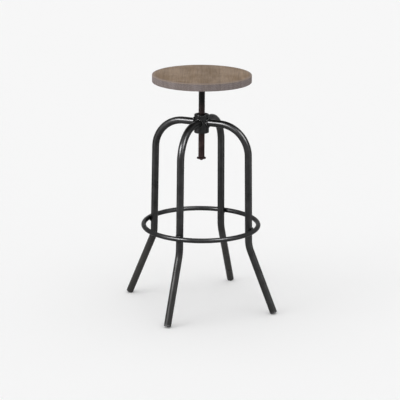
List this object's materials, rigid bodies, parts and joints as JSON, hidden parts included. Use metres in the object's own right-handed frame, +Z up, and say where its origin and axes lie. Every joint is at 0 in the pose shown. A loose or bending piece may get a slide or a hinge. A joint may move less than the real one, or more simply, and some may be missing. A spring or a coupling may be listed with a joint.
{
  "type": "industrial stool",
  "caption": "Industrial stool with a round wooden seat on a lifting screw, a hub with bent tube legs and a round foot ring; turning the seat raises or lowers it.",
  "frame": {"origin": "on the floor, in the middle of the feet, under the screw's axis", "axes": "+Z up along the screw; the legs stand on the diagonals between X and Y"},
  "size_m": [0.379, 0.379, 0.7494],
  "materials": {
    "seat_wood": "weathered matt",
    "dark_paint": "satin powder coat",
    "dark_steel": "oiled dark",
    "plug_plastic": "matt"
  },
  "bodies": {
    "frame": {"hub_sleeve": "dark_paint", "thread_nut": "dark_steel", "hub_welds": "dark_paint", "foot_ring": "dark_paint", "ring_welds": "dark_paint", "leg_front_right": "dark_paint", "leg_back_right": "dark_paint", "leg_back_left": "dark_paint", "leg_front_left": "dark_paint", "foot_plug_front_right": "plug_plastic", "foot_plug_back_right": "plug_plastic", "foot_plug_back_left": "plug_plastic", "foot_plug_front_left": "plug_plastic"},
    "stop": {"stop_washer": "dark_steel"},
    "seat": {"seat_board": "seat_wood", "seat_plate": "dark_paint", "seat_screws": "dark_steel", "screw_collar": "dark_paint", "collar_weld": "dark_paint", "collar_pin": "dark_steel", "lift_screw": "dark_steel", "stop_bolt": "dark_steel"}
  },
  "joints": [
    {"name": "screw_lift", "type": "slide", "parent": "frame", "child": "stop", "axis": [0, 0, 1], "range_m": [-0.0771, 0.0781]},
    {"name": "seat_turn", "type": "hinge", "parent": "stop", "child": "seat", "pos_m": [0, 0, 0.6], "axis": [0, 0, 1], "range_deg": [-6930, 7020]}
  ],
  "couplings": [
    {"joint": "screw_lift", "follows": "seat_turn", "m_per_rad": 0.00063662}
  ]
}
